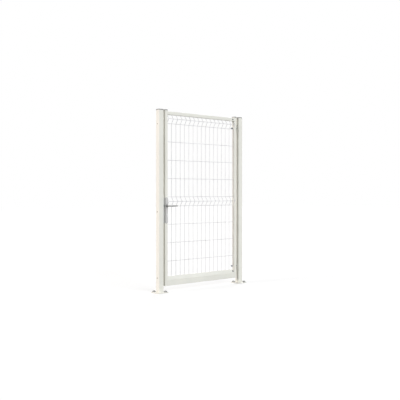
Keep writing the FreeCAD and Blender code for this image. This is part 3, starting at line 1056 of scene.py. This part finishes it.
@dataclass
class Hinges:
    """Two hinges: a bracket with a pin on the post, an eye-bolt through the stile."""

    names: tuple[str, str] = ("upper", "lower")
    nut_across: float = 18.0
    nut_height: float = 10.0
    nut_play: float = 0.05
    nut_land: float = 0.94          # of half the width across the flats
    nut_edge: float = 0.35
    nut_chamfer: float = 0.5
    washer_height: float = 2.5
    washer_edge: float = 0.5
    thread_radius: float = 6.0
    thread_proud: float = 0.25
    thread_beyond: float = 0.2
    thread_pitch: float = 1.75
    thread_depth: float = 0.75
    seam: float = 1.8
    seam_inset: float = 3.0
    bracket_half: float = 11.0

    def build(self) -> None:
        """Make and dress both hinges."""
        for name in self.names:
            dress(FITTING_ZINC, name + "_hinge_pin", name + "_eye_bolt")
            dress(FRAME_COAT, name + "_hinge_bracket")
            self.nut(name)
            self.bracket_welds(name)

    def nut(self, name: str) -> None:
        """Make the washer, the chamfered nut and the thread beyond it.

        Args:
            name: Which hinge.
        """
        solid = Extent.of(name + "_hinge_nut")
        bolt = Extent.of(name + "_eye_bolt")
        seat = np.array([solid.high[0], solid.middle[1], solid.middle[2]])
        nut_seat = seat - np.array([self.washer_height * MM, 0.0, 0.0])
        bore = self.thread_radius + self.nut_play
        flat = self.nut_across / 2.0
        edge = self.washer_edge
        washer = pierced(flat, self.washer_height, bore, flat - edge, edge)
        nut = pierced(flat, self.nut_height, bore, self.nut_land * flat, self.nut_edge,
                      Outline.HEXAGON, self.nut_chamfer)
        skin = Skin(turned(washer, Axis.LEFT, seat), turned(nut, Axis.LEFT, nut_seat), looped=True)
        made = skin.piece(name + "_nut_and_washer", FITTING_ZINC, "leaf")
        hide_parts(name + "_hinge_nut")
        length = (seat[0] - bolt.low[0]) / MM + self.thread_beyond
        thread = Skin(threaded(length, self.thread_radius + self.thread_proud, self.thread_pitch,
                               self.thread_depth, Axis.LEFT, seat))
        thread.piece(name + "_eye_bolt_thread", FITTING_ZINC, "leaf")

    def bracket_welds(self, name: str) -> None:
        """Lay a seam down each long side of the bracket's plate on the post.

        Args:
            name: Which hinge.
        """
        bracket = Extent.of(name + "_hinge_bracket")
        x = bracket.high[0]
        low = bracket.low[2] + self.seam_inset * MM
        high = bracket.high[2] - self.seam_inset * MM
        half = self.bracket_half * MM
        sides = (bracket.middle[1] - half, bracket.middle[1] + half)
        skin = Skin(*(weld_seam([x, y, low], [x, y, high], self.seam) for y in sides))
        skin.piece(name + "_hinge_bracket_welds", FRAME_COAT, "posts", CREASE_WELD)


@dataclass
class LockSet:
    """Lock with its plates, levers, cylinder, latch bolt and keeper."""

    neck_radius: float = 9.5
    grip_half_height: tuple[float, float] = (11.0, 5.8)
    grip_half_depth: tuple[float, float] = (9.0, 5.0)
    grip_blend: float = 14.0
    grip_clear: float = 0.2
    grip_sides: int = 28
    grip_steps: int = 40
    bend_steps: int = 14
    end_steps: int = 10
    stand_off: float = 55.0
    bend_radius: float = 16.0
    collar_seat: float = 4.0
    collar_radius: float = 13.0
    collar_height: float = 9.0
    collar_edge: tuple[float, float] = (0.6, 2.0)
    neck_play: float = 0.5
    neck_rise: float = 1.5
    bush_play: float = 0.02
    bush_wall: float = 1.8
    bush_height: float = 6.0
    bush_edge: float = 0.6
    screw_inset: float = 14.0
    screw_radius: float = 4.0
    screw_height: float = 1.6
    screw_socket: float = 1.3
    edge_screw_height: float = 1.0
    forend_screw_inset: float = 9.0
    keeper_screw_inset: float = 12.0
    key_radius: float = 6.2
    key_below_top: float = 8.5
    key_foot: float = -0.5
    key_face: float = 0.8
    key_edge: tuple[float, float] = (0.4, 0.3)
    key_sides: int = 72
    keyway_rim: float = 0.75        # of the plug's radius
    keyway_half_height: float = 4.4
    keyway_floor: float = -0.4
    post_bolt_radius: float = 7.0
    post_bolt_height: float = 3.0
    post_bolt_socket: float = 2.5
    post_bolts_from_lever: tuple[float, float] = (68.6, -185.5)

    def dress(self) -> None:
        """Give the lock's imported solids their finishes."""
        dress(PLATE_ALUMINIUM, "front_escutcheon", "back_escutcheon")
        dress(LOCK_ZINC, "lock_cylinder", "keeper_plate", "lock_case", "spindle", "lock_forend")
        dress(FITTING_ZINC, "latch_bolt")

    def lever_path(self, seat: np.ndarray, bar_y: float, tip_x: float) -> np.ndarray:
        """Centre line of a lever: out from its seat, round the bend and along the grip.

        Args:
            seat: Start of the neck, in metres.
            bar_y: Depth of the grip's centre line, in metres.
            tip_x: Place of the grip's end along the width, in metres.

        Returns:
            Points in metres, crowded where the end closes.
        """
        x, _, z = seat
        corners = np.array([seat, [x, bar_y, z], [tip_x, bar_y, z]])
        bent = rounded(corners, self.bend_radius * MM, self.bend_steps)
        grip = np.linspace(bent[-2], bent[-1], self.grip_steps)[1:]
        closing = self.grip_half_height[1] * MM
        end_x = tip_x - closing + closing * closing_shares(self.end_steps)
        rounded_end = np.stack([end_x, 0.0 * end_x + bar_y, 0.0 * end_x + z], axis=1)
        straight = grip[grip[:, 0] < tip_x - closing - self.grip_clear * MM]
        return np.concatenate([bent[:-1], straight, rounded_end])

    def lever_radii(self, path: np.ndarray, start_x: float, tip_x: float) -> list[np.ndarray]:
        """Half depth and half height of a lever along its centre line.

        From the neck each radius goes to the grip's first one by s^2 (3 - 2 s) and
        from there to the tip's along a straight line.  At a share s of the last
        stretch they are these times (1 - s^2) to the power 0.5, so the end closes
        as an ellipsoid.

        Args:
            path: Centre line, in metres.
            start_x: Place where the bend ends, in metres.
            tip_x: Place of the grip's end, in metres.

        Returns:
            The two radii at each point, in metres.
        """
        closing = self.grip_half_height[1] * MM
        share = np.clip((path[:, 0] - start_x) / (self.grip_blend * MM), 0.0, 1.0)
        ease = share ** 2 * (3.0 - 2.0 * share)
        along = np.clip((path[:, 0] - start_x) / (tip_x - start_x), 0.0, 1.0)
        tail = np.clip((path[:, 0] - (tip_x - closing)) / closing, 0.0, 0.9995)
        closing_share = np.sqrt(1.0 - tail ** 2) * MM
        radii = []
        for root_size, tip_size in (self.grip_half_depth, self.grip_half_height):
            full = root_size + along * (tip_size - root_size)
            radii.append((self.neck_radius + ease * (full - self.neck_radius)) * closing_share)
        return radii

    def handle(self, face: Face) -> None:
        """Make a lever: a collar, a bent neck and an oval grip with a rounded end.

        Args:
            face: Side of the leaf.
        """
        side = face.value
        solid = Extent.of(side + "_lever")
        plate = Extent.of(side + "_escutcheon")
        sign = face.axis.value[1]
        x, z = plate.middle[0], solid.middle[2]
        tip_x = solid.high[0]
        seat = np.array([x, face.inside(plate) + sign * self.collar_seat * MM, z])
        path = self.lever_path(seat, face.outside(plate) + sign * self.stand_off * MM, tip_x)
        depth, height = self.lever_radii(path, x + self.bend_radius * MM, tip_x)
        radius, top = self.collar_radius, self.collar_height
        edge_in, edge_down = self.collar_edge
        collar = [Ring(radius, 0.0), Ring(radius, top - edge_down),
                  Ring(radius - edge_in, top - edge_in), Ring(radius - edge_down, top),
                  Ring(self.neck_radius + self.neck_play, top),
                  Ring(self.neck_radius - self.neck_play, top + self.neck_rise)]
        skin = Skin(sweep(path, depth, height, (0.0, 0.0, 1.0), self.grip_sides),
                    turned(collar, face.axis, seat, NECK_SIDES))
        # The grip's darker aluminium is painted shade on the cover plates' finish.
        made = skin.piece(side + "_handle", SHADED_GRIP_ALUMINIUM, "handle")
        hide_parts(side + "_lever")
        self.bush(face, np.array([x, face.outside(plate), z]))

    def bush(self, face: Face, seat: np.ndarray) -> None:
        """Slip the nylon bush over the collar, down to the cover plate; its black is painted shade
        for the neck's shading and the lever's shadow.

        Args:
            face: Side of the leaf.
            seat: Spindle axis on the plate's face, in metres.
        """
        inner = self.collar_radius + self.bush_play
        outer = self.collar_radius + self.bush_wall
        rings = [Ring(inner, 0.0), Ring(outer, 0.0), Ring(outer, self.bush_height - self.bush_edge),
                 Ring(outer - self.bush_edge, self.bush_height), Ring(inner, self.bush_height)]
        skin = Skin(turned(rings, face.axis, seat, NECK_SIDES), looped=True)
        skin.piece(face.value + "_handle_bush", NECK_SHADE_NYLON, "handle")

    def plate_screws(self, face: Face) -> None:
        """Set the two screws of a cover plate.

        Args:
            face: Side of the leaf.
        """
        plate = Extent.of(face.value + "_escutcheon")
        head = button_head(self.screw_radius, self.screw_height, self.screw_socket)
        set_heads(face.value + "_plate_screws", LOCK_ZINC, "leaf", head, face.axis,
                  plate.pair(plate.middle[0], face.outside(plate), self.screw_inset))

    def key_plug(self, face: Face) -> None:
        """Make the cylinder's round plug with its keyway.

        Args:
            face: Side of the leaf.
        """
        barrel = Extent.of("lock_cylinder")
        centre = np.array([barrel.middle[0], face.outside(barrel),
                           barrel.high[2] - self.key_below_top * MM])
        radius, top = self.key_radius, self.key_face
        edge_in, edge_down = self.key_edge
        rings = [Ring(radius, self.key_foot), Ring(radius, top - edge_down),
                 Ring(radius - edge_in, top), Ring(self.keyway_rim * radius, top),
                 Ring(self.keyway_half_height, top, Outline.KEYWAY),
                 Ring(self.keyway_half_height, self.keyway_floor, Outline.KEYWAY)]
        skin = Skin(turned(rings, face.axis, centre, self.key_sides))
        skin.piece(face.value + "_key_plug", LOCK_ZINC, "leaf")

    def edge_screws(self) -> None:
        """Set the screws of the lock's face plate and of the keeper."""
        forend = Extent.of("lock_forend")
        keeper = Extent.of("keeper_plate")
        head = button_head(self.screw_radius, self.edge_screw_height, self.screw_socket)
        set_heads("lock_face_screws", LOCK_ZINC, "leaf", head, Axis.LEFT,
                  forend.pair(forend.low[0], forend.middle[1], self.forend_screw_inset))
        set_heads("keeper_screws", LOCK_ZINC, "posts", head, Axis.RIGHT,
                  keeper.pair(keeper.high[0], keeper.middle[1], self.keeper_screw_inset))

    def post_bolts(self) -> None:
        """Set the two domed bolt heads on the latch post's front, which hold the keeper."""
        post = Extent.of("latch_post")
        lever = Extent.of("front_lever")
        head = button_head(self.post_bolt_radius, self.post_bolt_height, self.post_bolt_socket)
        places = [[post.middle[0], post.low[1], lever.middle[2] + offset * MM]
                  for offset in self.post_bolts_from_lever]
        set_heads("latch_post_bolt_heads", FRAME_COAT, "posts", head, Axis.FORWARD,
                  places)

    def build(self) -> None:
        """Make and dress the whole lock."""
        self.dress()
        for face in Face:
            self.handle(face)
            self.plate_screws(face)
            self.key_plug(face)
        self.edge_screws()
        self.post_bolts()


@dataclass(frozen=True)
class Lamp:
    """Soft distant lamp, placed by the direction that its light comes from."""

    name: str
    strength: float
    source: tuple[float, float, float]
    spread: float
    colour: str


@dataclass
class Studio:
    """White ground and backdrop, soft lamps and the camera of the photograph."""

    ground_size: float = 60.0
    ground_albedo: str = "#bcbcba"
    ground_glow: float = 0.66
    ground_shade: float = 0.38
    sky_level: float = 0.2
    focal_px: float = 589.6
    sensor: float = 36.0
    eye: tuple[float, float, float] = (-4.787, -5.255, 1.0873)
    turn_right: float = 38.58
    horizon_px: float = 192.2
    sight: float = 200.0
    lamp_distance: float = 6.0
    lamps: tuple[Lamp, ...] = (
        Lamp("side_lamp", 2.5, (-1.0, 0.15, 0.32), 25.0, "#fff6f2"),
        Lamp("front_lamp", 2.2, (0.1, -1.0, 0.6), 40.0, "#fafdff"),
        Lamp("rear_lamp", 1.6, (0.8, 0.6, 0.4), 40.0, "#ffffff"),
    )

    def seen(self, tree: Tree) -> Socket:
        """Mask that is 1 for camera, glossy and transmission rays.

        Args:
            tree: Node tree of the ground or the world.

        Returns:
            The mask.
        """
        rays = add_node(tree, "ShaderNodeLightPath", {})
        mask = rays.outputs["Is Camera Ray"]
        for kind in ("Is Glossy Ray", "Is Transmission Ray"):
            mask = add_node(tree, "ShaderNodeMath", {0: mask, 1: rays.outputs[kind]},
                            operation="ADD", use_clamp=True).outputs[0]
        return mask

    def ground(self) -> None:
        """Lay the white ground, which keeps the gate's soft shadow."""
        half = self.ground_size / 2.0
        mesh = bpy.data.meshes.new("ground")
        mesh.from_pydata([(-half, -half, 0.0), (half, -half, 0.0), (half, half, 0.0),
                          (-half, half, 0.0)], [], [(0, 1, 2, 3)])
        plane = bpy.data.objects.new("ground", mesh)
        bpy.context.scene.collection.objects.link(plane)
        made = bpy.data.materials.new("white_studio_ground")
        tree = blank_tree(made)
        matt = add_node(tree, "ShaderNodeBsdfDiffuse", {"Color": linear(self.ground_albedo)})
        glow = add_node(tree, "ShaderNodeEmission", {"Color": WHITE, "Strength": self.ground_glow})
        grey = (self.ground_shade, self.ground_shade, self.ground_shade, 1.0)
        shade = add_node(tree, "ShaderNodeBsdfDiffuse", {"Color": grey})
        white = add_node(tree, "ShaderNodeAddShader", {0: glow.outputs[0], 1: shade.outputs[0]})
        mixed = add_node(tree, "ShaderNodeMixShader", {
            0: self.seen(tree), 1: matt.outputs[0], 2: white.outputs[0]})
        add_node(tree, "ShaderNodeOutputMaterial", {"Surface": mixed.outputs[0]})
        mesh.materials.append(made)

    def sky(self) -> None:
        """Light the gate evenly from all round, in front of a white backdrop."""
        world = bpy.data.worlds.new("studio")
        bpy.context.scene.world = world
        tree = blank_tree(world)
        level, white = (add_node(tree, "ShaderNodeBackground", {
            "Color": WHITE, "Strength": strength}) for strength in (self.sky_level, 1.0))
        mixed = add_node(tree, "ShaderNodeMixShader", {
            0: self.seen(tree), 1: level.outputs[0], 2: white.outputs[0]})
        add_node(tree, "ShaderNodeOutputWorld", {"Surface": mixed.outputs[0]})

    def light(self) -> None:
        """Hang the soft lamps."""
        for lamp in self.lamps:
            sun = bpy.data.lights.new(lamp.name, "SUN")
            sun.energy = lamp.strength
            sun.angle = math.radians(lamp.spread)
            sun.color = linear(lamp.colour)[:3]
            hung = bpy.data.objects.new(lamp.name, sun)
            hung.rotation_euler = Vector(lamp.source).to_track_quat("Z", "Y").to_euler()
            hung.location = Vector(lamp.source) * self.lamp_distance
            bpy.context.scene.collection.objects.link(hung)

    def camera(self) -> None:
        """Stand the camera where the photograph was taken from.

        The lens is the focal length in pixels times the sensor over the picture's
        width, and the shift is the horizon's offset from the middle over that width.
        """
        lens = bpy.data.cameras.new("photo_camera")
        lens.sensor_width = self.sensor
        lens.lens = self.focal_px * self.sensor / PHOTO_PX
        lens.shift_y = (self.horizon_px - PHOTO_PX / 2.0) / PHOTO_PX
        lens.clip_end = self.sight
        stand = bpy.data.objects.new("photo_camera", lens)
        stand.location = self.eye
        stand.rotation_euler = (math.radians(90.0), 0.0, -math.radians(self.turn_right))
        bpy.context.scene.collection.objects.link(stand)
        bpy.context.scene.camera = stand

    def build(self) -> None:
        """Set the whole stage."""
        self.ground()
        self.sky()
        self.light()
        self.camera()
        bpy.context.scene.view_settings.view_transform = "Standard"


def main() -> None:
    """Build the gate's sub-assemblies in order, then the studio."""
    logging.basicConfig(level=logging.INFO, format="%(name)s %(message)s")
    for part in (Posts(), LeafFrame(), MeshInfill(), Hinges(), LockSet(), Studio()):
        part.build()
        LOG.info("%s done", type(part).__name__)


if __name__ == "__main__":
    main()
